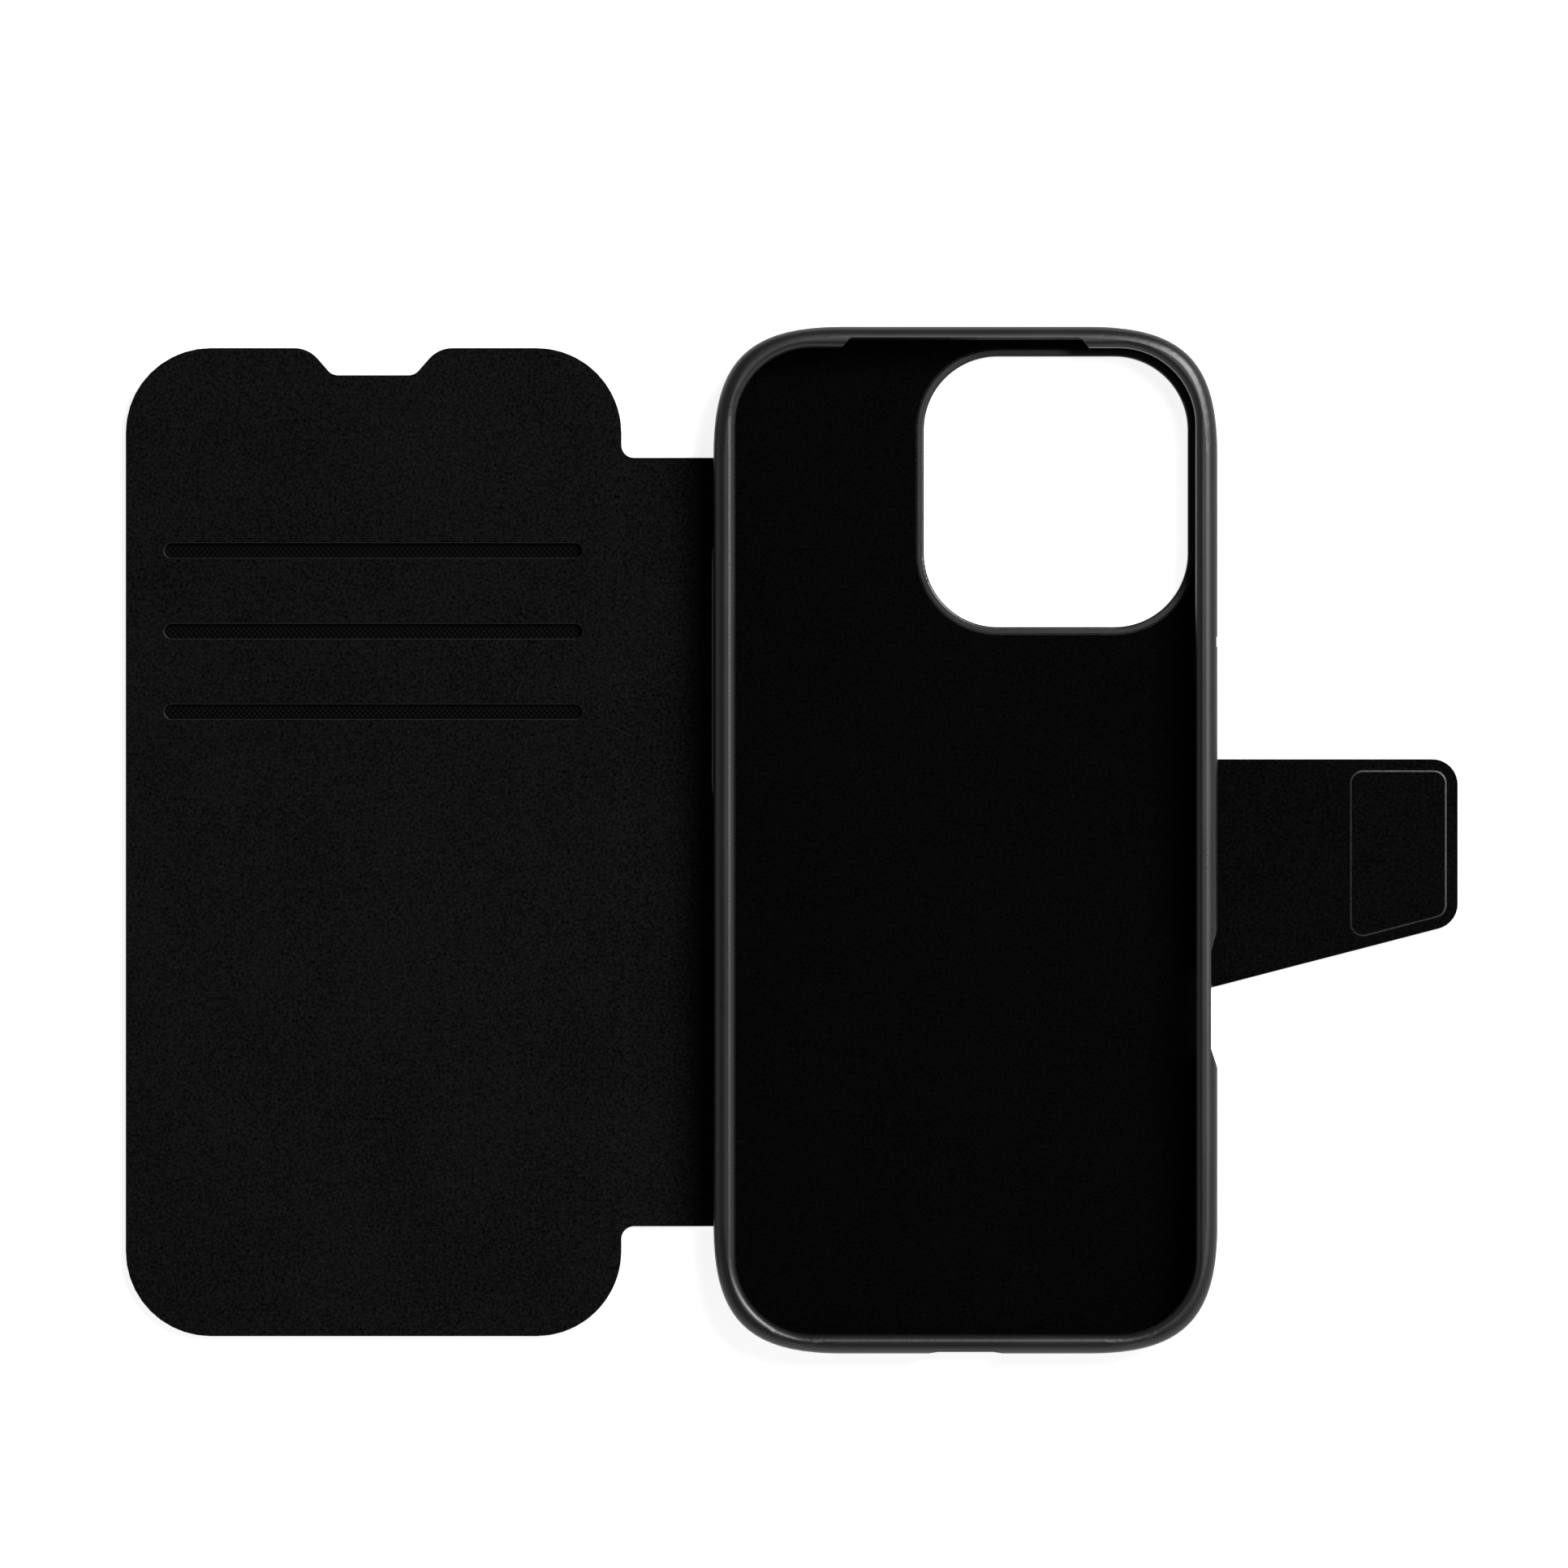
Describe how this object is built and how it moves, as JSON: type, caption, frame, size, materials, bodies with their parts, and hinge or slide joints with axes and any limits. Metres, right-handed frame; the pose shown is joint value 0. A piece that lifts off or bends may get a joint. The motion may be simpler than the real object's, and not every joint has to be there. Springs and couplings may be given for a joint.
{
  "type": "phone wallet case",
  "caption": "Folio wallet case lying open on its back: card-slot flap, fold-over spine, soft phone shell with keys, and a magnetic closing strap.",
  "frame": {"origin": "centre of the phone shell's back, on the surface that the open case lies on", "axes": "+X across the open case towards the strap, +Y up the phone towards its earpiece, +Z out of the screen side"},
  "size_m": [0.1995, 0.1534, 0.0115],
  "materials": {
    "tpu": "satin",
    "shell_plastic": "matte",
    "microfibre": "matte",
    "guard_plastic": "satin",
    "outer_leather": "satin",
    "board": "matte",
    "steel": "satin",
    "magnet": "polished",
    "pocket_weave": "matte",
    "key_plastic": "satin"
  },
  "bodies": {
    "phone_shell": {"bumper_frame": "tpu", "shell_back_plate": "shell_plastic", "seat_lining": "microfibre", "camera_guard": "guard_plastic", "back_skin": "outer_leather"},
    "spine": {"spine_skin": "outer_leather", "spine_lining": "microfibre"},
    "cover_flap": {"flap_skin": "outer_leather", "flap_board": "board", "flap_steel_plate": "steel", "pocket_frame": "board", "card_pocket_top": "pocket_weave", "card_pocket_middle": "pocket_weave", "card_pocket_bottom": "pocket_weave", "flap_lining": "microfibre"},
    "strap_bridge": {"strap_bridge_skin": "outer_leather", "strap_bridge_lining": "microfibre"},
    "strap_tab": {"strap_tab_skin": "outer_leather", "strap_tab_core": "board", "strap_magnet": "magnet", "strap_tab_lining": "microfibre"},
    "action_key": {"action_button": "key_plastic"},
    "volume_up_key": {"volume_up_button": "key_plastic"},
    "volume_down_key": {"volume_down_button": "key_plastic"},
    "side_key": {"side_button": "key_plastic"}
  },
  "joints": [
    {"name": "cover_root_fold", "type": "hinge", "parent": "phone_shell", "child": "spine", "pos_m": [-0.0386, 0, 0.0012], "axis": [0, 1, 0], "range_deg": [-90, 90]},
    {"name": "flap_fold", "type": "hinge", "parent": "spine", "child": "cover_flap", "pos_m": [-0.0506, 0, 0.0012], "axis": [0, 1, 0], "range_deg": [-90, 90]},
    {"name": "strap_root_fold", "type": "hinge", "parent": "phone_shell", "child": "strap_bridge", "pos_m": [0.0387, 0, 0.0008], "axis": [0, -1, 0], "range_deg": [-90, 90]},
    {"name": "strap_tip_fold", "type": "hinge", "parent": "strap_bridge", "child": "strap_tab", "pos_m": [0.0544, 0, 0.0008], "axis": [0, -1, 0], "range_deg": [-90, 90]},
    {"name": "action_key_press", "type": "slide", "parent": "phone_shell", "child": "action_key", "axis": [1, 0, 0], "range_m": [0, 0.00035], "stiffness_N_per_m": 3000},
    {"name": "volume_up_press", "type": "slide", "parent": "phone_shell", "child": "volume_up_key", "axis": [1, 0, 0], "range_m": [0, 0.00035], "stiffness_N_per_m": 3000},
    {"name": "volume_down_press", "type": "slide", "parent": "phone_shell", "child": "volume_down_key", "axis": [1, 0, 0], "range_m": [0, 0.00035], "stiffness_N_per_m": 3000},
    {"name": "side_key_press", "type": "slide", "parent": "phone_shell", "child": "side_key", "axis": [-1, 0, 0], "range_m": [0, 0.00035], "stiffness_N_per_m": 3000}
  ]
}
